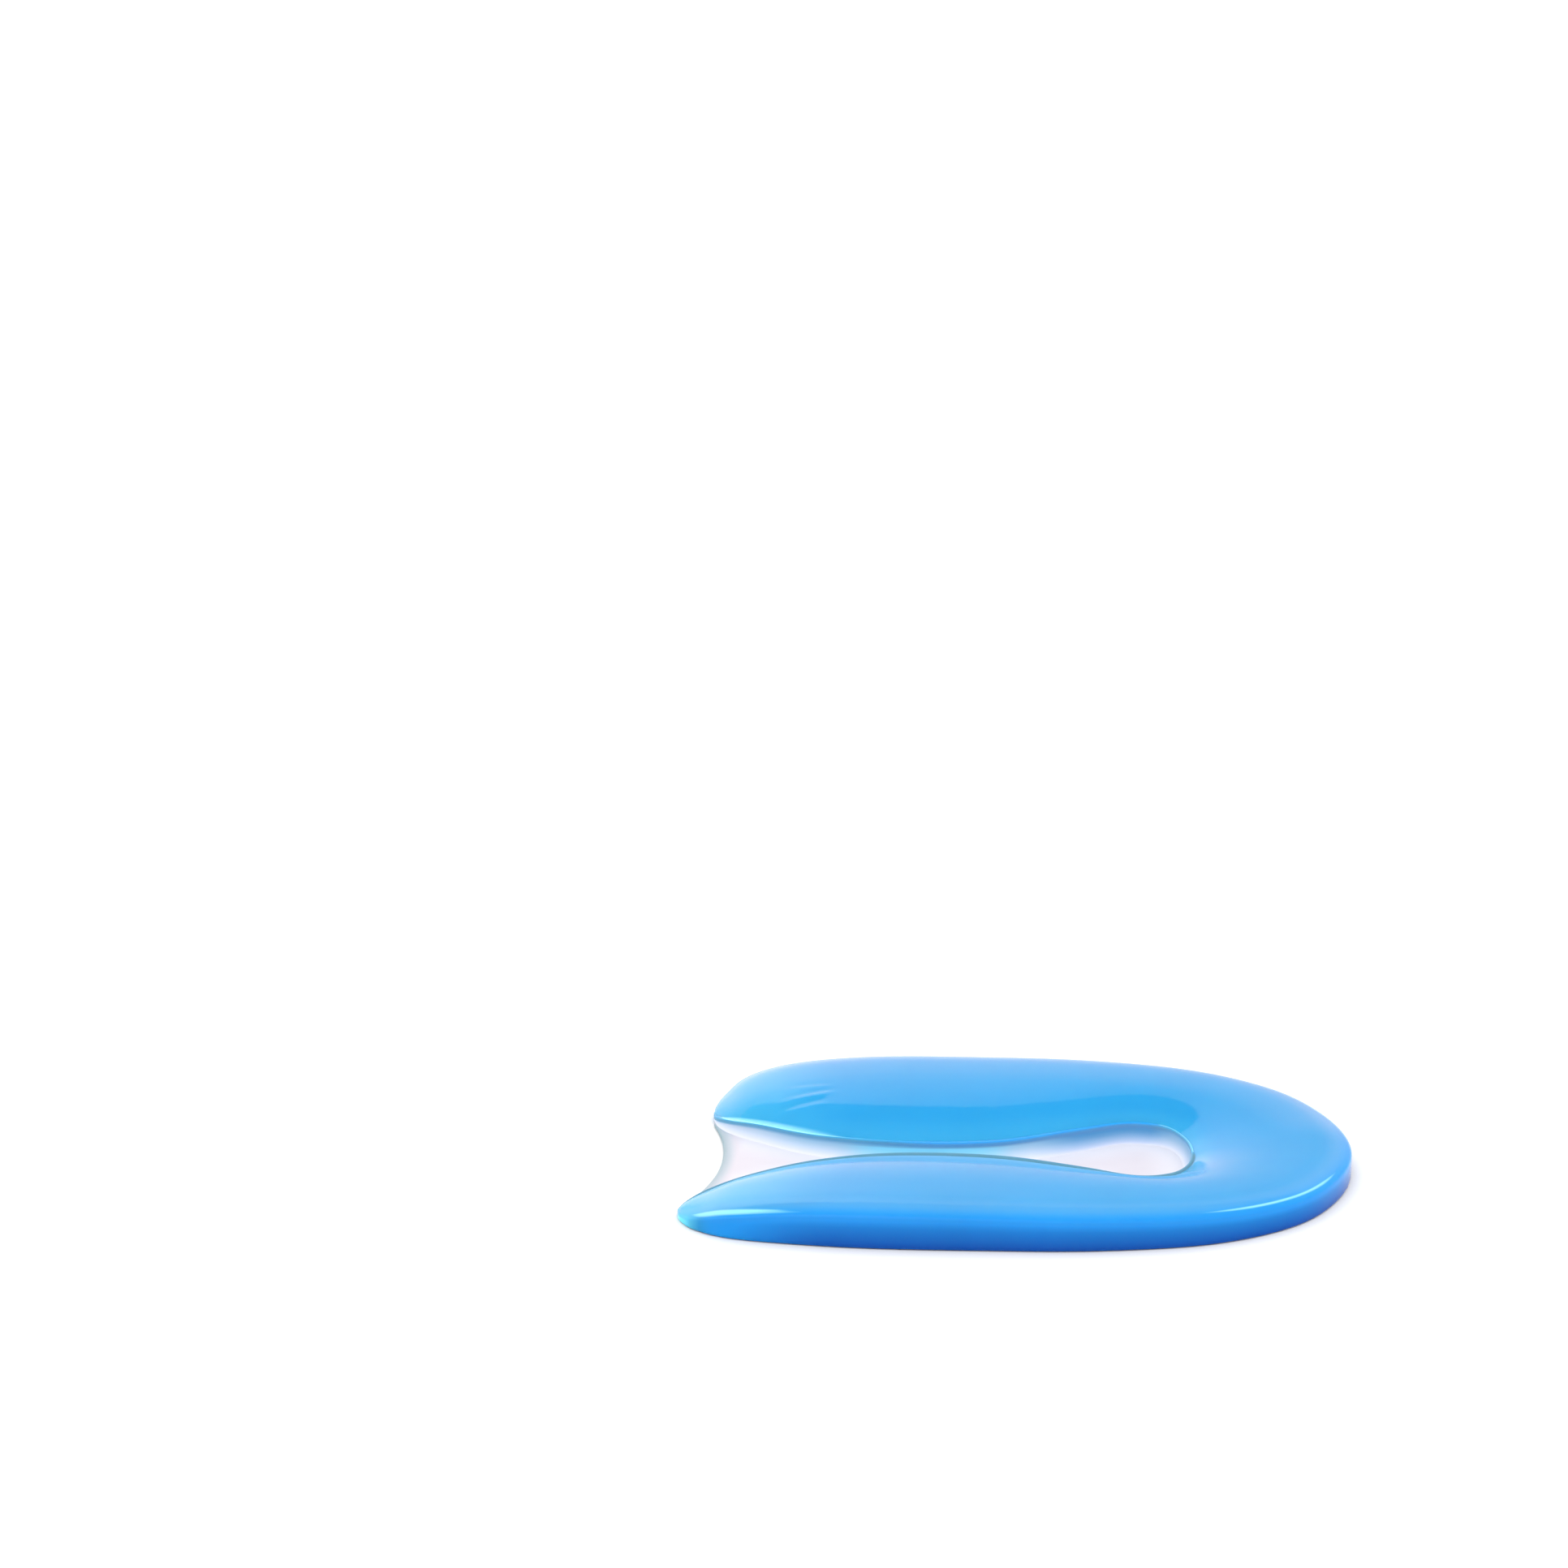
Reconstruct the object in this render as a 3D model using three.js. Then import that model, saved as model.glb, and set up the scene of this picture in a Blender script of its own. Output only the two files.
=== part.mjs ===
// U-shaped gel heel pad: a soft blue cushion whose two arms run forward from a round heel,
// with a keyhole slot between them, and a clear film that closes the slot at the underside.
//
// Millimetres, +Z up. +X points to the back of the heel and the arms reach towards -X.
// The origin is under the middle of the pad, on the surface that it lies on.

import * as THREE from 'three';

// Sections of one arm, from the middle of the heel to the tip. Each row joins a point of the
// outer outline to a point of the slot's outline; y is the distance from the middle line, and
// the heights are those of the top's crown and of the slot's lip.
const sections = [
  { outerX: 50.0, outerY: 0.0, slotX: 26.0, slotY: 0.0, crown: 4.9, lip: 2.7 },
  { outerX: 47.5, outerY: 11.5, slotX: 25.2, slotY: 5.1, crown: 5.0, lip: 2.7 },
  { outerX: 40.5, outerY: 22.0, slotX: 22.5, slotY: 9.0, crown: 5.3, lip: 2.9 },
  { outerX: 28.0, outerY: 29.2, slotX: 17.0, slotY: 10.4, crown: 5.7, lip: 3.1 },
  { outerX: 11.0, outerY: 32.2, slotX: 9.0, slotY: 7.1, crown: 6.1, lip: 3.15 },
  { outerX: -7.0, outerY: 32.4, slotX: -3.0, slotY: 2.6, crown: 6.4, lip: 2.95 },
  { outerX: -22.0, outerY: 31.9, slotX: -18.0, slotY: 1.9, crown: 6.5, lip: 2.95 },
  { outerX: -34.0, outerY: 30.4, slotX: -30.0, slotY: 4.6, crown: 5.9, lip: 2.8 },
  { outerX: -42.5, outerY: 28.5, slotX: -39.5, slotY: 9.8, crown: 4.6, lip: 2.6 },
  { outerX: -47.3, outerY: 25.6, slotX: -45.6, slotY: 13.9, crown: 2.8, lip: 2.0 },
  { outerX: -49.4, outerY: 22.7, slotX: -48.8, slotY: 17.2, crown: 1.9, lip: 1.4 },
  { outerX: -50.0, outerY: 20.6, slotX: -50.0, slotY: 19.4, crown: 1.4, lip: 1.2 },
];
const stepsPerRow = 4; // sections lofted for each row of the table

// The arm at +Y is the shorter one: in front of this place it is drawn back and leans inward.
const shortArm = { from: -32, tip: -50, shortfall: 4, lean: 1.8 };

// Section of the gel: the top rounds over to the outer wall and, more slowly, into the slot
const rim = { width: 7.0, drop: 1.8, power: 3.4, steps: 5 };
const rimShare = 0.4; // most of a narrow tip's width that the rim may take
const crown = { power: 2.6, cut: 0.88, steps: 8 }; // cut off at the lip before it is upright
const lipRadius = 0.5; // top edge of the slot
const footRadius = 0.4; // bottom outer edge
const edgeShare = 0.3; // most of a narrow tip's width or height that one edge may take
const edgeSteps = 3;

// Clear film
const filmThickness = 0.6;
const filmLap = 2.0; // how far the gel is cut back over the film
const filmLapShare = 0.12; // most of a narrow tip's width that the lap may take
const filmGap = 0.3; // clearance between film and gel
const filmEnd = 5; // sections at each tip that the film stops short of
const filmFront = { x: -43.3, y: 3.5, steps: 12 }; // middle of its concave free edge

// Finishes
const blueGel = { color: 0x55aef2, roughness: 0.15, metalness: 0, transparent: true, opacity: 0.85 };
const clearFilm = { color: 0xf0eefc, roughness: 0.1, metalness: 0, transparent: true, opacity: 0.35 };

// Moves a point of the short arm, more towards its tip.
function shortArmPoint([x, y, z]) {
  const share = Math.max(0, (shortArm.from - x) / (shortArm.from - shortArm.tip));
  return new THREE.Vector3(x + shortArm.shortfall * share ** 2, y - shortArm.lean * share ** 2, z);
}

function longArmPoint([x, y, z]) {
  return new THREE.Vector3(x, -y, z);
}

// A curve from the long arm's tip round the heel to the short arm's tip.
function fullOutline(pointOfRow) {
  const tipToHeel = sections.map((row) => longArmPoint(pointOfRow(row))).reverse();
  const heelToTip = sections.slice(1).map((row) => shortArmPoint(pointOfRow(row)));
  return new THREE.CatmullRomCurve3([...tipToHeel, ...heelToTip], false, 'centripetal');
}

// Pairs of points along the outer outline, at crown height, and the slot's lip, tip to tip.
function loftStations() {
  const outerCurve = fullOutline((row) => [row.outerX, row.outerY, row.crown]);
  const lipCurve = fullOutline((row) => [row.slotX, row.slotY, row.lip]);
  const count = (outerCurve.points.length - 1) * stepsPerRow;
  return Array.from({ length: count + 1 }, (_, i) => {
    const outer = outerCurve.getPoint(i / count);
    const lip = lipCurve.getPoint(i / count);
    const inward = new THREE.Vector2(lip.x - outer.x, lip.y - outer.y);
    const width = inward.length();
    return { outer, lip, width, inward: inward.divideScalar(width) };
  });
}

// How far the gel is cut back over the film at one station.
function lapDepth(station) {
  return Math.min(filmLap, filmLapShare * station.width);
}

// Shares [across, up] along a rounded fall from the level top, 0 across, to upright, 1 across.
function roundedFall(power, steps) {
  return Array.from({ length: steps + 1 }, (_, i) => {
    const angle = (0.5 * Math.PI * i) / steps;
    return [Math.sin(angle) ** (2 / power), Math.max(0, Math.cos(angle))];
  });
}

// The same shares along the top's longer fall to the slot's lip.
function crownFall() {
  const height = (share) => Math.sqrt(1 - (crown.cut * share) ** crown.power);
  return Array.from({ length: crown.steps }, (_, i) => {
    const share = Math.sqrt((i + 1) / crown.steps);
    return [share, (height(share) - height(1)) / (1 - height(1))];
  });
}

// Closed section of the gel: distance inward from the outer wall, and height.
function gelProfile(station) {
  const { width } = station;
  const top = station.outer.z;
  const lip = station.lip.z;
  const rebate = filmThickness + filmGap;
  const most = edgeShare * Math.min(width, top, lip);
  const foot = Math.min(footRadius, most);
  const lipRound = Math.min(lipRadius, edgeShare * Math.min(width, lip - rebate));
  const rimWidth = Math.min(rim.width, rimShare * width);
  const rimDrop = Math.min(rim.drop, 2 * most);
  const lap = lapDepth(station);
  const footRound = roundedFall(2, edgeSteps).map(([across, up]) => [
    foot * (1 - across),
    foot * (1 - up),
  ]);
  const rimFall = roundedFall(rim.power, rim.steps).reverse().map(([across, up]) => [
    rimWidth * (1 - across),
    top - rimDrop * (1 - up),
  ]);
  const slotFall = crownFall().map(([across, up]) => [
    THREE.MathUtils.lerp(rimWidth, width - lipRound, across),
    THREE.MathUtils.lerp(lip, top, up),
  ]);
  const lipEdge = roundedFall(2, edgeSteps).slice(1).map(([across, up]) => [
    width - lipRound * (1 - across),
    lip - lipRound * (1 - up),
  ]);
  return [
    ...footRound,
    ...rimFall,
    ...slotFall,
    ...lipEdge,
    [width, rebate],
    [width - lap, rebate],
    [width - lap, 0],
  ];
}

// Skin over closed rings of equal length, with both ends capped.
function loft(rings, endFaces) {
  const size = rings[0].length;
  const last = (rings.length - 1) * size;
  const index = [];
  for (let i = 0; i + 1 < rings.length; i += 1) {
    for (let j = 0; j < size; j += 1) {
      const a = i * size + j;
      const b = i * size + ((j + 1) % size);
      index.push(a, a + size, b, b, a + size, b + size);
    }
  }
  for (const [a, b, c] of endFaces) {
    index.push(a, c, b, last + a, last + b, last + c);
  }
  const geometry = new THREE.BufferGeometry();
  geometry.setFromPoints(rings.flat());
  geometry.setIndex(index);
  geometry.computeVertexNormals();
  return geometry;
}

function gelPadGeometry(stations) {
  const profiles = stations.map(gelProfile);
  const rings = stations.map((station, i) => profiles[i].map(([distance, height]) => (
    new THREE.Vector3(
      station.outer.x + station.inward.x * distance,
      station.outer.y + station.inward.y * distance,
      height,
    )
  )));
  const endOutline = profiles[0].map(([distance, height]) => new THREE.Vector2(distance, height));
  return loft(rings, THREE.ShapeUtils.triangulateShape(endOutline, []));
}

// Flat film under the slot: its sides lie in the gel's rebate, its front edge is a free arc.
function slotFilmGeometry(stations) {
  const sides = stations.slice(filmEnd, -filmEnd).map((station) => {
    const reach = lapDepth(station) - filmGap;
    return new THREE.Vector2(station.lip.x, station.lip.y).addScaledVector(station.inward, -reach);
  });
  const start = sides[0];
  const end = sides[sides.length - 1];
  const middle = new THREE.Vector2(filmFront.x, filmFront.y);
  const frontEdge = new THREE.SplineCurve([end, middle, start]).getPoints(filmFront.steps);
  const outline = new THREE.Shape([...sides, ...frontEdge.slice(1, -1)]);
  return new THREE.ExtrudeGeometry(outline, { depth: filmThickness, bevelEnabled: false });
}

function namedMesh(name, geometry, finish) {
  const mesh = new THREE.Mesh(geometry, new THREE.MeshStandardMaterial(finish));
  mesh.name = name;
  return mesh;
}

const stations = loftStations();
const heelPad = new THREE.Group();
heelPad.name = 'u_shaped_heel_pad';
heelPad.add(namedMesh('gel_pad', gelPadGeometry(stations), blueGel));
heelPad.add(namedMesh('slot_film', slotFilmGeometry(stations), clearFilm));

export default heelPad;
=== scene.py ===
from math import cos, exp, pi, radians, sin

import bmesh
import bpy
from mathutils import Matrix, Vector


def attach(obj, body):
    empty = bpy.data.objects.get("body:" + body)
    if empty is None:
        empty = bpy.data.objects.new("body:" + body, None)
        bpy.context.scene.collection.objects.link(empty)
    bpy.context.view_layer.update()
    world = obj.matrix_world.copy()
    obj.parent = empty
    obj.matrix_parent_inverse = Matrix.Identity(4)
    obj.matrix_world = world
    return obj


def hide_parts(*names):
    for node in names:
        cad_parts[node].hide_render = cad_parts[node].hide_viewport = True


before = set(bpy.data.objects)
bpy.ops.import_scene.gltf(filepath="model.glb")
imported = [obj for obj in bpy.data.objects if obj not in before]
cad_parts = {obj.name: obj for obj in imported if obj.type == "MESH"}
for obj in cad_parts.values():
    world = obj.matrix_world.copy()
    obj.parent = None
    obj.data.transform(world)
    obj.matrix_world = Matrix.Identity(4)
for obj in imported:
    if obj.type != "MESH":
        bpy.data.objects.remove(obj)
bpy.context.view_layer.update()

mm = 0.001
scene = bpy.context.scene


# Camera: a long lens that looks down on the pad from beside its long arm

cameraView = dict(
    place=(-0.01826, -0.74171, 0.29916),
    tiltDown=17.86,  # degrees below the horizon
    turnLeft=1.28,
    lens=122.2,
    sensor=36,
    clipStart=0.01,
)


def addCamera(view):
    data = bpy.data.cameras.new("camera")
    data.lens = view["lens"]
    data.sensor_width = view["sensor"]
    data.clip_start = view["clipStart"]
    cam = bpy.data.objects.new("camera", data)
    cam.location = view["place"]
    cam.rotation_euler = (radians(90 - view["tiltDown"]), 0, radians(view["turnLeft"]))
    scene.collection.objects.link(cam)
    scene.camera = cam


addCamera(cameraView)
print("camera set")


# Shared helpers for shapes

def blend(a, b, share):
    return a + (b - a) * share


def easeIn(low, high, value):  # smooth step from 0 at low to 1 at high, either of which may be larger
    share = min(max((value - low) / (high - low), 0), 1)
    return share * share * (3 - 2 * share)


def splinePoint(points, place):  # smooth curve through the points, place counts rows
    i = min(int(place), len(points) - 2)
    t = place - i
    before, here, there = points[max(i - 1, 0)], points[i], points[i + 1]
    after = points[min(i + 2, len(points) - 1)]
    return 0.5 * (
        2 * here
        + (there - before) * t
        + (2 * before - 5 * here + 4 * there - after) * t**2
        + (3 * here - before - 3 * there + after) * t**3
    )


def madeVerts(result):  # the vertices that an operator made
    return [item for item in result["geom"] if isinstance(item, bmesh.types.BMVert)]


def sweepSections(bm, sections, closed):  # extrudes the first section through all the others
    ring = [bm.verts.new(point) for point in sections[0]]
    first = 0 if closed else 1
    edges = [bm.edges.new((ring[i - 1], ring[i])) for i in range(first, len(ring))]
    rings = [ring]
    for section in sections[1:]:
        fresh = set(madeVerts(bmesh.ops.extrude_edge_only(bm, edges=edges)))
        ring = [next(e.other_vert(v) for e in v.link_edges if e.other_vert(v) in fresh) for v in ring]
        for vert, point in zip(ring, section):
            vert.co = point
        edges = [bm.edges.get((ring[i - 1], ring[i])) for i in range(first, len(ring))]
        rings.append(ring)
    return rings


def ringEdges(bm, ring):
    return [bm.edges.get((ring[i - 1], ring[i])) for i in range(len(ring))]


def settleOrder(bm):  # numbers points, edges and faces in the same order on each run
    for i, vert in enumerate(sorted(bm.verts, key=lambda v: v.co.to_tuple())):
        vert.index = i
    bm.verts.sort()
    for items in (bm.edges, bm.faces):
        for i, item in enumerate(sorted(items, key=lambda item: sorted(v.index for v in item.verts))):
            item.index = i
        items.sort()


def addPiece(name, bm, material, levels):  # smoothed, with the smoothing applied
    settleOrder(bm)
    draft = bpy.data.meshes.new(name)
    bm.to_mesh(draft)
    bm.free()
    piece = bpy.data.objects.new(name, draft)
    scene.collection.objects.link(piece)
    smooth = piece.modifiers.new("smooth", "SUBSURF")
    smooth.levels = levels
    smooth.render_levels = levels
    mesh = bpy.data.meshes.new_from_object(piece.evaluated_get(bpy.context.evaluated_depsgraph_get()))
    piece.modifiers.clear()
    piece.data = mesh
    bpy.data.meshes.remove(draft)
    mesh.name = name
    mesh.materials.append(material)
    for face in mesh.polygons:
        face.use_smooth = True
    return piece


# Shared helpers for materials: most add a node and return what comes out of it

def newMaterial(name):
    material = bpy.data.materials.new(name)
    material.use_nodes = True
    tree = material.node_tree
    return material, tree, tree.nodes["Principled BSDF"]


def addNode(tree, kind, **settings):
    node = tree.nodes.new(kind)
    for key, value in settings.items():
        setattr(node, key, value)
    return node


def readLayer(tree, name):  # a vertex layer
    return addNode(tree, "ShaderNodeAttribute", attribute_name=name).outputs["Fac"]


def addRamp(tree, value, stops):  # stops: place, linear colour
    node = addNode(tree, "ShaderNodeValToRGB")
    elements = node.color_ramp.elements
    while len(elements) < len(stops):
        elements.new(0.5)
    for element, (place, color) in zip(elements, stops):
        element.position = place
        element.color = (*color, 1)
    tree.links.new(value, node.inputs["Fac"])
    return node.outputs["Color"]


def addMapRange(tree, value, start, end, interpolation="LINEAR"):  # range start is mapped to range end
    node = addNode(tree, "ShaderNodeMapRange", interpolation_type=interpolation)
    for name, number in zip(("From Min", "From Max", "To Min", "To Max"), (*start, *end)):
        node.inputs[name].default_value = number
    tree.links.new(value, node.inputs["Value"])
    return node.outputs["Result"]


def addMix(tree, share, color, other):  # other is a fixed colour or another node's
    node = addNode(tree, "ShaderNodeMix", data_type="RGBA")
    tree.links.new(share, node.inputs["Factor"])
    tree.links.new(color, node.inputs["A"])
    if isinstance(other, tuple):
        node.inputs["B"].default_value = (*other, 1)
    else:
        tree.links.new(other, node.inputs["B"])
    return node.outputs["Result"]


def addNoise(tree, scale, detail):
    coords = addNode(tree, "ShaderNodeTexCoord")
    node = addNode(tree, "ShaderNodeTexNoise")
    node.inputs["Scale"].default_value = scale
    node.inputs["Detail"].default_value = detail
    tree.links.new(coords.outputs["Object"], node.inputs["Vector"])
    return node.outputs["Fac"]


def addUneven(tree, color, scale, detail, swing):  # makes the colour a little uneven
    clouds = addNoise(tree, scale, detail)
    node = addNode(tree, "ShaderNodeHueSaturation")
    tree.links.new(addMapRange(tree, clouds, (0, 1), (1 - swing, 1 + swing)), node.inputs["Value"])
    tree.links.new(color, node.inputs["Color"])
    return node.outputs["Color"]


def setInputs(shader, **values):  # underscores stand for the spaces in an input's name
    for name, value in values.items():
        shader.inputs[name.replace("_", " ")].default_value = value


# Gel cushion: one U swept from tip to tip round the heel

gelPad = dict(
    # half outline from the middle of the heel to the tip, in mm:
    # outer x, outer y, slot x, slot y, crown height, lip height
    rows=(
        (50.0, 0.0, 26.0, 0.0, 4.9, 2.7),
        (47.5, 11.5, 25.2, 5.1, 5.0, 2.7),
        (40.5, 22.0, 22.5, 9.0, 5.3, 2.9),
        (28.0, 29.2, 17.0, 10.4, 5.7, 3.1),
        (11.0, 32.2, 9.0, 7.1, 6.1, 3.15),
        (-7.0, 32.4, -3.0, 2.6, 6.4, 2.95),
        (-22.0, 31.9, -18.0, 1.9, 6.5, 2.95),
        (-34.0, 30.4, -30.0, 4.6, 5.9, 2.8),
        (-42.5, 28.5, -39.5, 9.8, 4.6, 2.6),
        (-47.3, 25.6, -45.6, 13.9, 2.8, 2.0),
        (-49.4, 22.7, -48.8, 17.2, 1.85, 1.35),
        (-50.0, 20.6, -50.0, 19.4, 1.0, 0.9),
    ),
    stepsPerRow=5,
    shortArm=dict(start=-32, tip=-50, shortfall=4, lean=1.8),  # the arm at +Y is shorter
    edgeShare=0.3,  # most of a thin tip that one edge may take
    footRadius=0.35,
    footTurns=(0, 45, 90),
    wallShares=(0.33, 0.66),  # heights of the points between foot and rim
    rimWide=7.0,  # outer part of the top that rounds over to the wall
    rimTall=1.8,
    rimShare=0.4,  # most of a narrow tip's width that it may take
    rimPower=(1.7, 3.4),  # at the thin tips, and where the gel is thick
    rimSteps=11,
    crownPower=2.6,  # how flat the top stays before it rounds into the slot
    crownEnd=0.88,  # share of the full round at which the lip cuts it off
    crownSteps=12,
    crownSpacing=0.7,  # below 1 the steps are closer towards the slot
    beadWide=0.75,  # fine raised bead along the slot
    beadWider=0.5,  # share that the long arm adds
    beadTall=0.28,
    beadSunk=(0.85, 0.15),  # share of its height lost along the short arm's middle, and on the long arm
    lipRadius=0.42,
    slotEndFiner=0.55,  # share by which bead and lip are finer round the blind end
    rebateDepth=2.0,  # cut back over the film
    rebateShare=0.12,
    rebateHeight=0.57,
    rootReach=2.4,  # concave root that thins out over the film
    rootShare=0.8,  # most of the narrow waist that it may take
    rootWaistEnd=5,  # x behind which the slot is wide enough for all of it
    rootWidthShare=0.35,  # most of a narrow tip's width that it may take
    rootShorter=(0.5, 0.3),  # share of its reach lost round the blind end, and at the mouth
    rootTop=0.85,  # share of the lip's height
    rootFoot=0.545,  # just sunk into the film
    rootSink=0.08,  # how much lower its underside is
    rootBack=0.96,  # share of the reach at which the underside starts
    smoothLevels=2,
)

# where each stretch of the pad begins and is in full, in mm
padZones = dict(
    body=(-50, -26),  # along the outer rim
    nose=(-44.5, -50),
    tipHighlightFront=(-50, -45.5),
    tipHighlightBack=(-24, -42),
    heel=(0, 17),
    heelHighlightFront=(18, 36),
    heelHighlightBack=(50, 45),
    shortArm=(0, 10),  # across the outer rim
    thick=(1.4, 6.8),  # height of the crown
    mouth=(-30, -45),  # along the slot
    mouthHighlightFront=(-47, -42),
    mouthHighlightBack=(-18, -36),
    middleFront=(-24, -10),
    middleBack=(23, 19),
    waistBack=(8, 2),
    bulb=(0, 10),
    slotEnd=(20, 25),
    slotEndHighlight=(19.5, 22),
    waistSide=(3.8, 1.9),  # across the slot
    longArm=(0, -1.5),
)

# values of the vertex layers that the blue gel's material reads: tone, a painted dark line (painted shade),
# a pale share (thin gel and painted light), painted highlight, and dullness
colorLayers = ("tone", "line", "fade", "glow", "dull")
gelPaint = dict(
    topTone=(0.33, 0.5),  # at the pale tips, and on the body
    wallTone=(0.7, 0.05),  # behind the nose of a tip, and at the nose
    # painted shade: the wall is painted darkest at its foot by the floor
    footTone=1.0,
    wallPaler=0.2,  # change of tone from the painted shade at the foot to the rim
    rimTone=0.72,
    noseRimTone=0.2,
    rimToneRise=6,  # how late the rim's tone sets in
    # painted light: the steep slope into the slot is painted paler, to lift the shade it gets
    lipPaintedLightTone=0.42,
    lipPaintedLightZone=(0.75, 1.0),  # zones are shares of the way in to the slot, or out to the wall
    # painted light: a pale band painted along the rim
    rimPaintedLight=0.06,
    rimPaintedLightIn=(0.3, 0.68),
    rimPaintedLightOut=(0.75, 1.0),
    rimPaintedLightLost=0.85,
    shortArmPaintedLight=0.11,  # painted light: the short arm is painted paler towards its outer rim
    shortArmPaintedLightReach=12,  # mm
    # painted light: the long arm's slope into the slot is painted paler
    longSidePaintedLight=0.08,
    longSidePaintedLightZone=(0.6, 0.75),
    longSideDull=0.5,
    longSideDullZone=(0.5, 0.7),
    # painted highlight: pale cyan lines along the rim at the tips and heel, and along the bead at the mouth
    # and round the slot's end
    glowPlace=(0.86, 0.955, 0.9),  # share of the rim's width, at the tips, on the arms and at the heel
    glowReach=(0.15, 0.055, 0.06),
    heelHighlight=0.85,
    mouthHighlight=0.8,
    mouthHighlightZone=(0.88, 1.0),
    slotEndHighlight=0.62,
    slotEndBulb=0.8,  # share of the round end's colours lost at its blind end
    # bead: place across, height, tone on the short arm (painted darker there: painted shade), painted dark
    # line on the long arm, painted highlight at the slot's end
    bead=(
        (0.08, 0.15, 0.5, 0.8, 0.3),
        (0.3, 0.7, 0.6, 0.9, 0.8),
        (0.65, 1.0, 0.7, 0.9, 1.0),
        (1.0, 1.0, 0.7, 0.8, 0.6),
    ),
    # round edge of the lip: turn in degrees, tone on the short arm (painted darker there: painted shade),
    # painted dark line, fade
    lip=(
        (55, 0.75, 0.4, 0.02),
        (25, 0.75, 0.6, 0.04),
        (0, 0.6, 0.3, 0.1),
    ),
    # hollow root: turn in degrees, fade at the front, fade at the round end; pale towards its foot where
    # the gel thins over the film, with painted shade in the round end and painted light lifting the shade
    # at its foot
    root=(
        (0, 0.33, 0.09),
        (22, 0.45, 0.16),
        (45, 0.6, 0.31),
        (67, 0.74, 0.5),
        (90, 0.86, 0.76),
    ),
    rootTone=(0.3, 0.5, 0.14),  # at the front, at the round end and in the waist
    rootDull=0.45,
    waistFadeLost=0.5,
    mouthFade=0.8,
    mouthFadeShare=0.5,
    rebateTone=0.5,
    rebateFade=0.3,
    undersideTone=0.6,
)


def zone(name, value):  # 0 outside the stretch, 1 where it is in full
    return easeIn(*padZones[name], value)


def armPoint(x, y, z, side):  # side -1 is the long arm, +1 the short one
    arm = gelPad["shortArm"]
    if side > 0:
        share = max(0, (arm["start"] - x) / (arm["start"] - arm["tip"]))
        x += arm["shortfall"] * share**2
        y -= arm["lean"] * share**2
    return Vector((x, side * y, z))


def padStations():  # pairs of crown and lip points from the long arm's tip to the short arm's
    rows = gelPad["rows"]
    rims, lips = [], []
    for side, armRows in ((-1, reversed(rows)), (1, rows[1:])):
        for outerX, outerY, slotX, slotY, crownHeight, lipHeight in armRows:
            rims.append(armPoint(outerX, outerY, crownHeight, side))
            lips.append(armPoint(slotX, slotY, lipHeight, side))
    steps = gelPad["stepsPerRow"]
    places = [i / steps for i in range((len(rims) - 1) * steps + 1)]
    return [(splinePoint(rims, place), splinePoint(lips, place)) for place in places]


def crossSection(rim, lip):  # sizes of the pad's section at one station
    width = (lip.xy - rim.xy).length
    edge = gelPad["edgeShare"] * min(width, rim.z, lip.z)
    longArm = zone("longArm", lip.y)
    slotEnd = zone("slotEnd", lip.x)
    middle = zone("middleFront", lip.x) * zone("middleBack", lip.x)
    thick = zone("thick", rim.z)
    finer = 1 - gelPad["slotEndFiner"] * slotEnd
    lipRound = min(gelPad["lipRadius"], edge) * finer
    beadWide = min(gelPad["beadWide"] * (1 + gelPad["beadWider"] * longArm), 2 * edge) * finer
    shortSunk, longSunk = gelPad["beadSunk"]
    reach = min(gelPad["rootReach"], gelPad["rootWidthShare"] * width)
    if lip.x < gelPad["rootWaistEnd"]:
        reach = min(reach, gelPad["rootShare"] * abs(lip.y))
    endShorter, mouthShorter = gelPad["rootShorter"]
    return dict(
        width=width,
        top=rim.z,
        lip=lip.z,
        foot=min(gelPad["footRadius"], edge),
        rimWide=min(gelPad["rimWide"], gelPad["rimShare"] * width),
        rimTall=min(gelPad["rimTall"], 2 * edge),
        rimPower=blend(*gelPad["rimPower"], thick),
        lipRound=lipRound,
        beadStart=width - lipRound - beadWide,
        beadEnd=width - lipRound,
        beadTall=gelPad["beadTall"] * thick * (1 - blend(shortSunk * middle, longSunk, longArm)),
        rebate=min(gelPad["rebateDepth"], gelPad["rebateShare"] * width),
        reach=reach * (1 - max(endShorter * slotEnd, mouthShorter * zone("mouth", lip.x))),
    )


def rimBlend(name, rim):  # a value of the paint that differs between tips, arms and heel
    tip, arm, heel = gelPaint[name]
    return blend(blend(tip, arm, zone("body", rim.x)), heel, zone("heel", rim.x))


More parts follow.
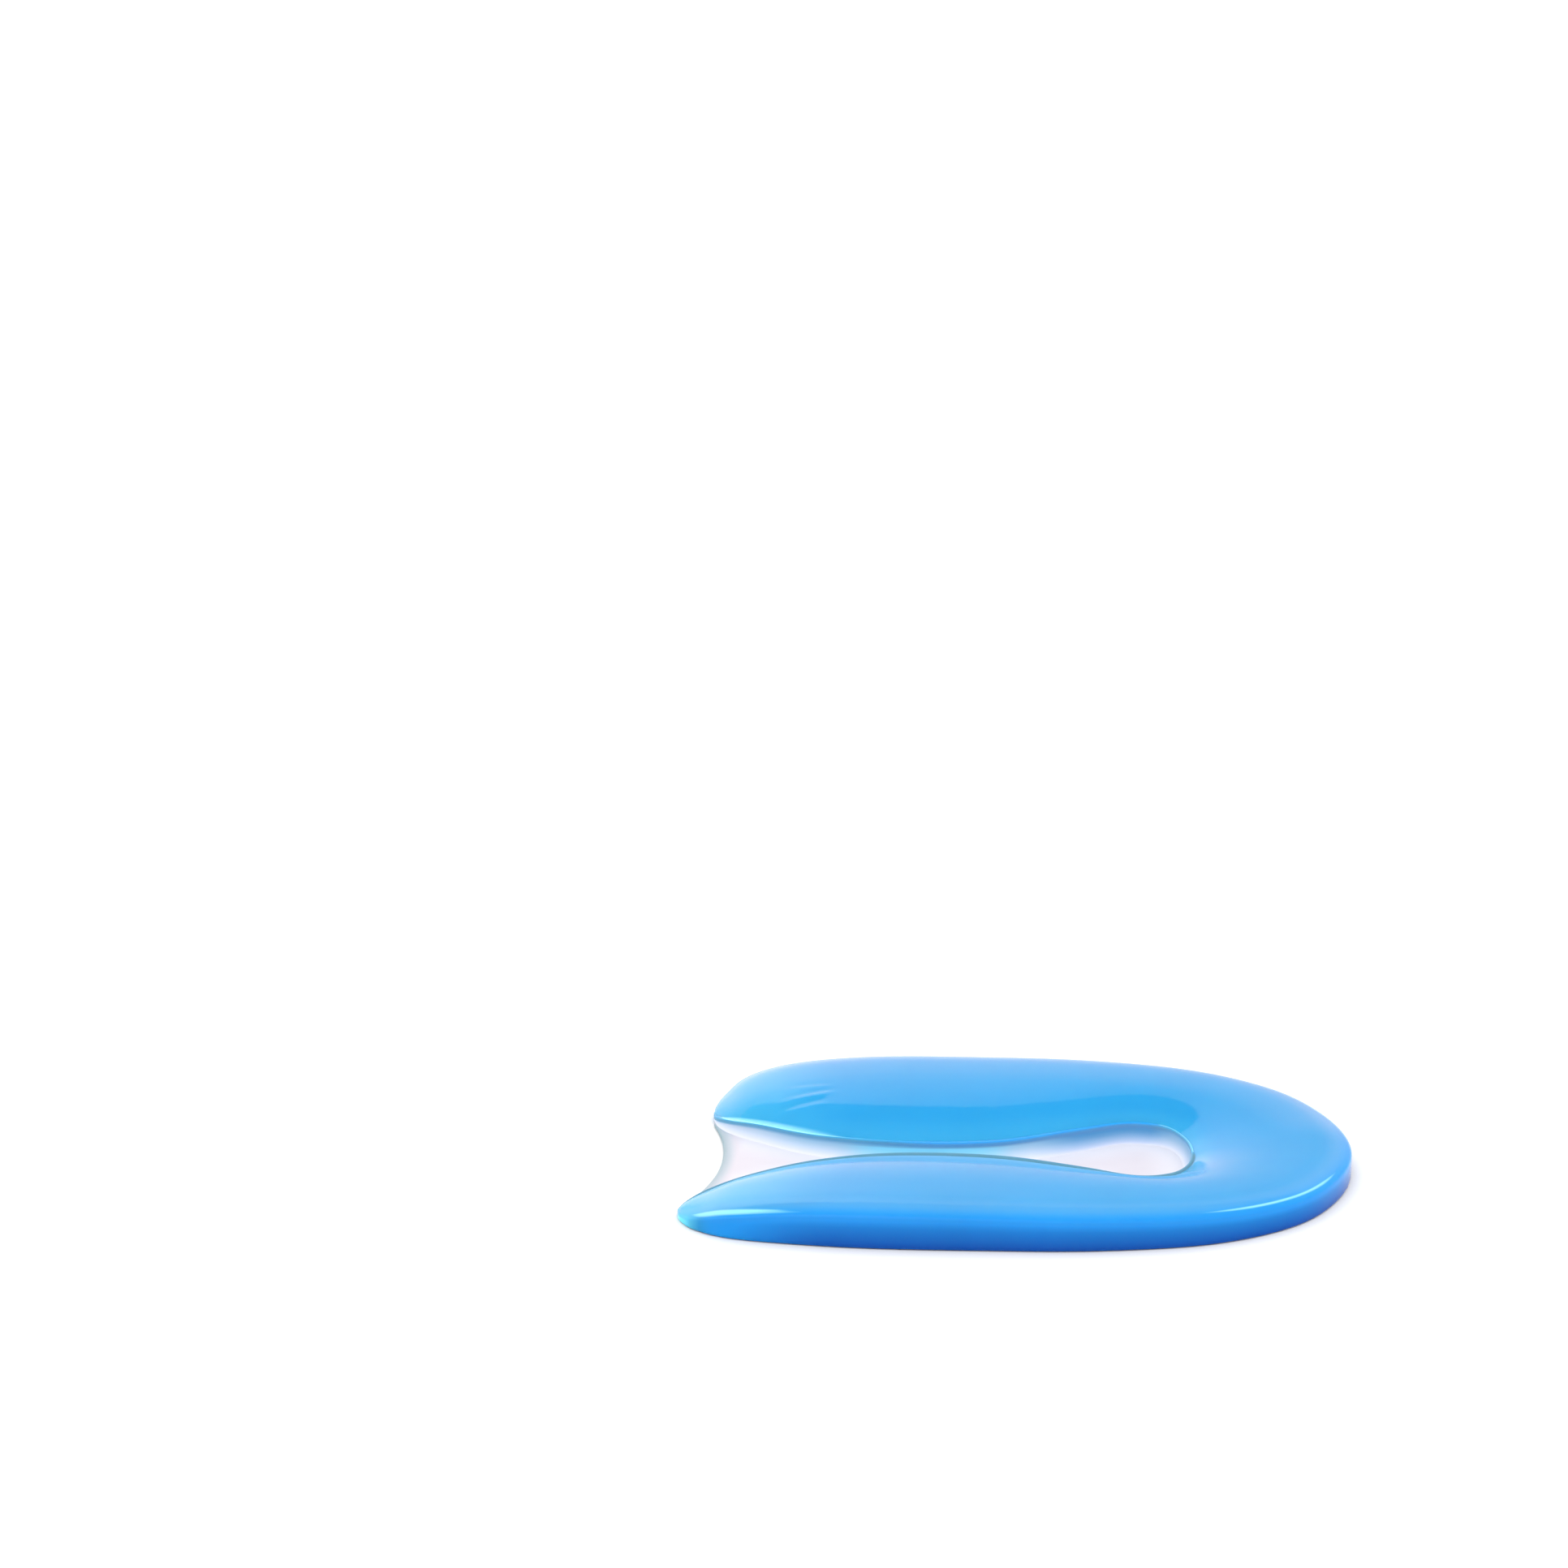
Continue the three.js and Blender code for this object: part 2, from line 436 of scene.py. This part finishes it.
def sectionPaint(rim, lip):  # colours of the pad's section at one station
    longArm = zone("longArm", lip.y)
    slotEnd = zone("slotEnd", lip.x)
    middle = zone("middleFront", lip.x) * zone("middleBack", lip.x)
    body = zone("body", rim.x)
    tipHighlight = zone("tipHighlightFront", rim.x) * zone("tipHighlightBack", rim.x)
    heelHighlight = gelPaint["heelHighlight"] * zone("heelHighlightFront", rim.x) * zone("heelHighlightBack", rim.x)
    mouthHighlight = zone("mouthHighlightFront", lip.x) * zone("mouthHighlightBack", lip.x)
    return dict(
        body=body,
        waist=zone("waistSide", abs(lip.y)) * zone("waistBack", lip.x),
        mouth=zone("mouth", lip.x),
        bulb=zone("bulb", lip.x) * (1 - gelPaint["slotEndBulb"] * slotEnd),
        longArm=longArm,
        longSide=longArm * (1 - slotEnd),
        shortArm=zone("shortArm", rim.y),
        shortMiddle=middle * (1 - longArm),
        topTone=blend(*gelPaint["topTone"], body),
        wallTone=blend(*gelPaint["wallTone"], zone("nose", rim.x)),
        rimHighlight=tipHighlight + heelHighlight,
        glowPlace=rimBlend("glowPlace", rim),
        glowReach=rimBlend("glowReach", rim),
        mouthHighlight=mouthHighlight * (1 - longArm),
        slotEndHighlight=gelPaint["slotEndHighlight"] * zone("slotEndHighlight", lip.x) * (1 - longArm),
    )


def sectionPoint(distance, height, **values):  # distance from the wall, height, and a value for each layer
    return distance, height, [values.get(name, 0) for name in colorLayers]


def wallPoints(cut, paint):
    points = []
    for turn in gelPad["footTurns"]:
        a = radians(turn)
        # painted shade: on the body the wall is painted darker towards its foot
        tone = blend(paint["wallTone"], gelPaint["footTone"], paint["body"])
        points.append(sectionPoint(cut["foot"] * (1 - sin(a)), cut["foot"] * (1 - cos(a)), tone=tone))
    for share in gelPad["wallShares"]:
        tone = blend(paint["wallTone"], gelPaint["footTone"] - gelPaint["wallPaler"] * share, paint["body"])
        height = blend(cut["foot"], cut["top"] - cut["rimTall"], share)
        points.append(sectionPoint(0, height, tone=tone))
    return points


# painted light: the short arm is painted paler towards its outer rim
def shortArmPaintedLight(paint, distance):
    share = max(0, 1 - distance / gelPaint["shortArmPaintedLightReach"])
    return gelPaint["shortArmPaintedLight"] * paint["shortArm"] * share


def rimPoints(cut, paint):
    points = []
    edgeTone = blend(max(paint["wallTone"], gelPaint["noseRimTone"]), gelPaint["rimTone"], paint["body"])
    for i in range(gelPad["rimSteps"] + 1):
        a = 0.5 * pi * i / gelPad["rimSteps"]
        outward = cos(a) ** (2 / cut["rimPower"])
        distance = cut["rimWide"] * (1 - outward)
        height = cut["top"] - cut["rimTall"] * (1 - sin(a))
        tone = blend(paint["topTone"], edgeTone, outward ** gelPaint["rimToneRise"])
        # painted light: a pale band along the rim, and on the short arm
        fade = gelPaint["rimPaintedLight"] * easeIn(*gelPaint["rimPaintedLightIn"], outward)
        fade *= 1 - gelPaint["rimPaintedLightLost"] * easeIn(*gelPaint["rimPaintedLightOut"], outward)
        fade += shortArmPaintedLight(paint, distance)
        # painted highlight: a pale cyan line along the rim at the tips and the heel
        offLine = abs(outward - paint["glowPlace"]) / paint["glowReach"]
        glow = paint["rimHighlight"] * max(0, 1 - offLine)
        points.append(sectionPoint(distance, height, tone=tone, fade=fade, glow=glow))
    return points


def crownPoints(cut, paint):
    points = []
    power, end = gelPad["crownPower"], gelPad["crownEnd"]
    endHeight = (1 - end**power) ** 0.5
    lipPaintedLightTone = min(paint["topTone"], gelPaint["lipPaintedLightTone"])
    for i in range(1, gelPad["crownSteps"] + 1):
        inward = (i / gelPad["crownSteps"]) ** gelPad["crownSpacing"]
        fall = ((1 - (end * inward) ** power) ** 0.5 - endHeight) / (1 - endHeight)
        distance = blend(cut["rimWide"], cut["beadStart"], inward)
        height = blend(cut["lip"], cut["top"], fall)
        # painted light: paler towards the slot, lifting the shade on the steep slope
        tone = blend(paint["topTone"], lipPaintedLightTone, easeIn(*gelPaint["lipPaintedLightZone"], inward))
        # painted light on the long arm's slope into the slot and on the short arm
        fade = gelPaint["longSidePaintedLight"] * paint["longSide"] * easeIn(*gelPaint["longSidePaintedLightZone"], inward)
        fade += shortArmPaintedLight(paint, distance)
        # painted highlight on the crown's last steps at the slot's mouth
        glow = gelPaint["mouthHighlight"] * paint["mouthHighlight"] * easeIn(*gelPaint["mouthHighlightZone"], inward)
        dull = gelPaint["longSideDull"] * paint["longSide"] * easeIn(*gelPaint["longSideDullZone"], inward)
        points.append(sectionPoint(distance, height, tone=tone, fade=fade, glow=glow, dull=dull))
    return points


def lipPoints(cut, paint):  # fine bead, then the round edge of the slot
    points = []
    # painted shade: a dark line along the bead and the lip's round edge, and a darker tone along the short
    # arm's middle
    for share, lift, shortTone, longShadeLine, endHighlight in gelPaint["bead"]:
        points.append(sectionPoint(
            blend(cut["beadStart"], cut["beadEnd"], share),
            cut["lip"] + lift * cut["beadTall"],
            tone=blend(gelPaint["lipPaintedLightTone"], shortTone, paint["shortMiddle"]),
            line=longShadeLine * paint["longArm"],
            glow=max(paint["mouthHighlight"], endHighlight * paint["slotEndHighlight"]),
            dull=gelPaint["longSideDull"] * paint["longSide"],
        ))
    for turn, shortTone, line, fade in gelPaint["lip"]:
        a = radians(turn)
        distance = cut["width"] - cut["lipRound"] * (1 - cos(a))
        height = cut["lip"] + cut["beadTall"] - cut["lipRound"] * (1 - sin(a))
        tone = blend(gelPaint["lipPaintedLightTone"], shortTone, paint["shortMiddle"])
        points.append(sectionPoint(distance, height, tone=tone, line=line, fade=fade))
    return points


def rootPoints(cut, paint):  # hollow curve that thins out over the film
    points = []
    frontTone, bulbTone, waistTone = gelPaint["rootTone"]
    tone = blend(blend(frontTone, bulbTone, paint["bulb"]), waistTone, paint["waist"])
    rootTop = gelPad["rootTop"] * (cut["lip"] - cut["lipRound"])
    for turn, frontFade, bulbFade in gelPaint["root"]:
        a = radians(turn)
        distance = cut["width"] + cut["reach"] * (1 - cos(a))
        height = blend(rootTop, gelPad["rootFoot"], sin(a))
        # paler towards the foot where the gel thins over the film, partly painted shade in the round end
        # and painted light at the foot
        fade = blend(frontFade, bulbFade, paint["bulb"]) * (1 - gelPaint["waistFadeLost"] * paint["waist"])
        fade = blend(fade, gelPaint["mouthFade"], gelPaint["mouthFadeShare"] * paint["mouth"])
        points.append(sectionPoint(distance, height, tone=tone, fade=fade, dull=gelPaint["rootDull"]))
    for share, height in ((gelPad["rootBack"], gelPad["rootFoot"]), (0, gelPad["rebateHeight"])):
        distance = cut["width"] + share * cut["reach"]
        points.append(sectionPoint(distance, height - gelPad["rootSink"], tone=tone, fade=1))
    return points


def undersidePoints(cut):  # rebate over the film, then the flat bottom
    corner = cut["width"] - cut["rebate"]
    tone, fade = gelPaint["rebateTone"], gelPaint["rebateFade"]
    return [
        sectionPoint(corner, gelPad["rebateHeight"], tone=tone, fade=fade),
        sectionPoint(corner, 0, tone=tone),
        sectionPoint(cut["width"] / 2, 0, tone=gelPaint["undersideTone"]),
    ]


def gelSection(rim, lip):  # closed section, from the foot of the wall over the top and back
    cut = crossSection(rim, lip)
    paint = sectionPaint(rim, lip)
    topPoints = wallPoints(cut, paint) + rimPoints(cut, paint) + crownPoints(cut, paint)
    return topPoints + lipPoints(cut, paint) + rootPoints(cut, paint) + undersidePoints(cut)


# shallow ripple marks on top of the short arm
ripples = dict(
    marks=(  # two ends in plan, and depth
        ((-36.0, 18.6), (-28.0, 18.7), 0.05),
        ((-36.0, 14.7), (-27.6, 16.6), 0.09),
        ((-37.0, 11.4), (-28.6, 13.4), 0.08),
    ),
    wide=0.75,
    bank=1.3,  # raised bank beside each mark
    fadeIn=(-0.1, 0.5),  # shares of the mark's length
    fadeOut=(1.05, 0.85),
    side=5,  # they lie beyond this y, and above this height
    floor=3,
)


def rippleLift(place):  # how far the marks raise the top at this place
    lift = 0
    for start, end, depth in ripples["marks"]:
        along = Vector(end) - Vector(start)
        offset = place - Vector(start)
        share = offset.dot(along) / along.length_squared
        across = offset.cross(along) / along.length / ripples["wide"]
        fade = easeIn(*ripples["fadeIn"], share) * easeIn(*ripples["fadeOut"], share)
        lift += depth * fade * (exp(-(across - ripples["bank"])**2) - exp(-across**2))
    return lift


def pressRipples(mesh):
    for vert in mesh.vertices:
        if vert.co.y > ripples["side"] * mm and vert.co.z > ripples["floor"] * mm:
            vert.co.z += rippleLift(vert.co.xy / mm) * mm


def buildGelPad(material):
    sections, profiles = [], []
    for rim, lip in padStations():
        inward = Vector((lip.x - rim.x, lip.y - rim.y, 0)).normalized()
        profile = gelSection(rim, lip)
        profiles.append(profile)
        sections.append([
            (Vector((rim.x, rim.y, height)) + inward * distance) * mm
            for distance, height, values in profile
        ])
    bm = bmesh.new()
    layers = [bm.verts.layers.float.new(name) for name in colorLayers]
    rings = sweepSections(bm, sections, True)
    for ring, profile in zip(rings, profiles):
        for vert, (distance, height, values) in zip(ring, profile):
            for layer, value in zip(layers, values):
                vert[layer] = value
    for ring in (rings[0], rings[-1]):
        bmesh.ops.contextual_create(bm, geom=ringEdges(bm, ring))
    bmesh.ops.recalc_face_normals(bm, faces=bm.faces)
    piece = addPiece("gel_cushion", bm, material, gelPad["smoothLevels"])
    pressRipples(piece.data)
    return piece


blueGel = dict(
    toneColors=(
        (0.0, (0.16, 0.78, 1.0)),  # pale nose of a tip
        (0.27, (0.06, 0.38, 0.60)),
        (0.5, (0.018, 0.246, 0.515)),  # top
        (0.75, (0.010, 0.25, 0.66)),
        (1.0, (0.003, 0.075, 0.36)),  # foot of the wall, painted darker: painted shade by the floor
    ),
    uneven=(60, 3, 0.07),  # scale, detail and swing
    # painted shade: the dark teal colour of the line along the slot's edges
    lineColor=(0.07, 0.185, 0.245),
    # pale colour for the thinning root, and for the painted light on the rim and arms
    paleAndPaintedLightColor=(0.72, 0.66, 0.73),
    glowColors=((0.3, (0.02, 0.27, 0.40)), (0.5, (0.45, 0.93, 1.0))),  # painted dark teal border (painted shade), then the pale cyan painted highlight
    glowRange=(0.2, 0.8),
    glowMost=0.5,
    grain=(170, 4),  # scale and detail of the soft moulded surface
    roughness=(0.04, 0.1),
    bump=0.12,
    bumpDepth=0.0003,
    soak=0.6,  # light that soaks into the thick gel, none where the root is thin and faded
    soakEnd=0.3,
)


def blueGelMaterial():
    material, tree, shader = newMaterial("blue_gel")
    fade = readLayer(tree, "fade")
    glow = readLayer(tree, "glow")
    color = addRamp(tree, readLayer(tree, "tone"), blueGel["toneColors"])
    color = addUneven(tree, color, *blueGel["uneven"])
    # painted shade: a dark teal line along the slot's edges
    color = addMix(tree, readLayer(tree, "line"), color, blueGel["lineColor"])
    # paler where the gel thins over the film, and painted light along the rim and arms
    color = addMix(tree, fade, color, blueGel["paleAndPaintedLightColor"])
    # painted highlight: pale cyan lines with a dark teal border
    glowShare = addMapRange(tree, glow, blueGel["glowRange"], (0, blueGel["glowMost"]), "SMOOTHSTEP")
    color = addMix(tree, glowShare, color, addRamp(tree, glow, blueGel["glowColors"]))
    tree.links.new(color, shader.inputs["Base Color"])
    grain = addNoise(tree, *blueGel["grain"])
    roughness = addNode(tree, "ShaderNodeMath", operation="ADD")
    tree.links.new(addMapRange(tree, grain, (0, 1), blueGel["roughness"]), roughness.inputs[0])
    tree.links.new(readLayer(tree, "dull"), roughness.inputs[1])
    tree.links.new(roughness.outputs["Value"], shader.inputs["Roughness"])
    wavy = addNode(tree, "ShaderNodeBump")
    setInputs(wavy, Strength=blueGel["bump"], Distance=blueGel["bumpDepth"])
    tree.links.new(grain, wavy.inputs["Height"])
    tree.links.new(wavy.outputs["Normal"], shader.inputs["Normal"])
    soak = addMapRange(tree, fade, (0, blueGel["soakEnd"]), (blueGel["soak"], 0))
    tree.links.new(soak, shader.inputs["Subsurface Weight"])
    setInputs(shader, Subsurface_Radius=(0.25, 0.7, 1.0), Subsurface_Scale=0.002)
    setInputs(shader, IOR=1.41, Specular_IOR_Level=0.18)
    return material


gelCushion = buildGelPad(blueGelMaterial())
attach(gelCushion, "root")
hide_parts("gel_pad")
print("gel cushion:", len(gelCushion.data.polygons), "faces")


# Clear film across the underside of the slot

slotFilm = dict(
    thickness=0.55,
    lap=1.8,  # under the gel on each side
    lapShare=0.11,
    endSteps=5,  # steps at each tip that it stops short of
    acrossCuts=15,
    mergeDistance=0.01,
    frontSag=3.65,  # depth of the concave front edge
    frontFade=9.0,
    frontRoll=0.8,  # width of the rolled front edge
    # painted shade along the front edge, fading inwards
    frontEdgeShade=0.6,
    frontEdgeShadeReach=1.2,
    paintedLightEnd=0.15,  # tone of the middle, where the painted light beside the gel ends: the sheet is painted lighter next to the gel to lift the shade there
    paintedLightEndZone=(2.0, 8.0),
    smoothLevels=1,
)


def filmSides():  # points of the film's edge, under the gel, from the long arm's tip to the other
    sides = []
    for rim, lip in padStations()[slotFilm["endSteps"]:-slotFilm["endSteps"]]:
        outward = rim.xy - lip.xy
        lap = min(slotFilm["lap"], slotFilm["lapShare"] * outward.length)
        point = lip.xy + outward.normalized() * lap
        sides.append(Vector((point.x, point.y, 0)) * mm)
    return sides


def addFilmGrid(bm, sides):  # flat sheet from side to side
    half = len(sides) // 2
    rings = sweepSections(bm, [[sides[i], sides[-1 - i]] for i in range(half + 1)], False)
    crossEdges = [bm.edges.get(ring) for ring in rings[:-1]]
    bmesh.ops.subdivide_edges(bm, edges=crossEdges, cuts=slotFilm["acrossCuts"], use_grid_fill=True)
    bmesh.ops.remove_doubles(bm, verts=bm.verts, dist=slotFilm["mergeDistance"] * mm)


def drawFrontBack(bm, sides, toneLayer):  # makes the front edge an arc, paints shade along it and painted light beside the gel, returns the edge
    front = set()
    lips = [lip.xy for rim, lip in padStations()]
    chord = sides[-1] - sides[0]
    for vert in bm.verts:
        offset = vert.co - sides[0]
        share = min(max(offset.dot(chord) / chord.length_squared, 0), 1)
        behind = (offset - chord * share).length / mm
        fade = 1 - easeIn(0, slotFilm["frontFade"], behind)
        vert.co.x += slotFilm["frontSag"] * mm * 4 * share * (1 - share) * fade
        gap = min((vert.co.xy / mm - lip).length for lip in lips)
        # painted light: the sheet is painted lighter beside the gel
        paintedLightEnd = slotFilm["paintedLightEnd"] * easeIn(*slotFilm["paintedLightEndZone"], gap)
        # painted shade along the front edge
        frontEdgeShade = slotFilm["frontEdgeShade"] * exp(-behind / slotFilm["frontEdgeShadeReach"])
        vert[toneLayer] = max(frontEdgeShade, paintedLightEnd)
        if behind < slotFilm["mergeDistance"]:
            front.add(vert)
    return [edge for edge in bm.edges if front.issuperset(edge.verts)]


def buildSlotFilm(material):
    sides = filmSides()
    bm = bmesh.new()
    toneLayer = bm.verts.layers.float.new("tone")
    addFilmGrid(bm, sides)
    frontEdges = drawFrontBack(bm, sides, toneLayer)
    roll = madeVerts(bmesh.ops.extrude_edge_only(bm, edges=frontEdges))
    bmesh.ops.translate(bm, verts=roll, vec=(-slotFilm["frontRoll"] * mm, 0, 0))
    # painted shade: the rolled front edge gets the darkest tone
    for vert in roll:
        vert[toneLayer] = 1
    top = madeVerts(bmesh.ops.extrude_face_region(bm, geom=bm.faces[:]))
    bmesh.ops.translate(bm, verts=top, vec=(0, 0, slotFilm["thickness"] * mm))
    bmesh.ops.recalc_face_normals(bm, faces=bm.faces)
    return addPiece("slot_film_clear", bm, material, slotFilm["smoothLevels"])


clearFilm = dict(
    toneColors=(
        # tone 0 lies beside the gel and is painted lighter: painted light that lifts the shade there
        (0.0, (0.69, 0.69, 0.76)),
        (0.15, (0.62, 0.60, 0.67)),
        (0.4, (0.47, 0.53, 0.60)),
        (1.0, (0.18, 0.33, 0.40)),  # rolled front edge, painted dark: painted shade
    ),
    uneven=(120, 3, 0.05),  # scale, detail and swing
)


def clearFilmMaterial():
    material, tree, shader = newMaterial("clear_film")
    color = addRamp(tree, readLayer(tree, "tone"), clearFilm["toneColors"])
    tree.links.new(addUneven(tree, color, *clearFilm["uneven"]), shader.inputs["Base Color"])
    setInputs(shader, Roughness=0.32, IOR=1.4, Transmission_Weight=0.2)
    return material


film = buildSlotFilm(clearFilmMaterial())
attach(film, "root")
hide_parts("slot_film")
print("film:", len(film.data.polygons), "faces")


# Studio: white floor, even soft light, and a backdrop for the gloss

studio = dict(
    floorSize=8.0,
    floorDrop=0.00005,
    floorColor=(0.72, 0.72, 0.72),
    skyLow=1.2,  # soft light from the horizon and from above
    skyHigh=2.1,
    backdropTop=42.0,  # degrees above the horizon at which the backdrop ends
    backdropBlur=0.005,
    backdropLow=1.6,  # brightness near the floor, then above
    backdropHigh=1.45,
    backdropChange=(0.28, 0.41),
    backdropGain=(0.6, 1.4),  # of its right and left parts
    backdropSplit=0.16,
    roofDark=0.12,
    backdropTint=(1.0, 0.8, 0.72),
)


def addFloor():
    bm = bmesh.new()
    bmesh.ops.create_grid(bm, x_segments=1, y_segments=1, size=studio["floorSize"] / 2)
    bmesh.ops.translate(bm, verts=bm.verts, vec=(0, 0, -studio["floorDrop"]))
    mesh = bpy.data.meshes.new("floor")
    bm.to_mesh(mesh)
    bm.free()
    material, tree, shader = newMaterial("white_floor")
    setInputs(shader, Base_Color=(*studio["floorColor"], 1), Roughness=0.9, Specular_IOR_Level=0.0)
    mesh.materials.append(material)
    floor = bpy.data.objects.new("floor", mesh)
    scene.collection.objects.link(floor)


def backdropStops():  # colours from the horizon up, with a dark roof above the backdrop
    low = [studio["backdropLow"] * c for c in studio["backdropTint"]]
    high = [studio["backdropHigh"] * c for c in studio["backdropTint"]]
    dark = (studio["roofDark"],) * 3
    lowEnd, highStart = studio["backdropChange"]
    edge = sin(radians(studio["backdropTop"]))
    blur = studio["backdropBlur"]
    return (
        (0.0, low),
        (lowEnd, low),
        (highStart, high),
        (edge - blur, high),
        (edge + blur, dark),
        (1.0, dark),
    )


def addWorld():  # the gloss sees the backdrop, everything else the soft sky
    world = bpy.data.worlds.new("studio")
    world.use_nodes = True
    tree = world.node_tree
    coords = addNode(tree, "ShaderNodeTexCoord")
    direction = addNode(tree, "ShaderNodeSeparateXYZ")
    tree.links.new(coords.outputs["Generated"], direction.inputs[0])
    upward = direction.outputs["Z"]
    sky = addRamp(tree, upward, ((0.0, (studio["skyLow"],) * 3), (1.0, (studio["skyHigh"],) * 3)))
    split = studio["backdropSplit"]
    gain = addMapRange(tree, direction.outputs["X"], (split, -split), studio["backdropGain"], "SMOOTHSTEP")
    backdrop = addNode(tree, "ShaderNodeVectorMath", operation="SCALE")
    tree.links.new(addRamp(tree, upward, backdropStops()), backdrop.inputs[0])
    tree.links.new(gain, backdrop.inputs["Scale"])
    glossy = addNode(tree, "ShaderNodeLightPath").outputs["Is Glossy Ray"]
    light = addMix(tree, glossy, sky, backdrop.outputs["Vector"])
    tree.links.new(light, tree.nodes["Background"].inputs["Color"])
    scene.world = world


addFloor()
addWorld()
scene.view_settings.view_transform = "Standard"
print("studio set")
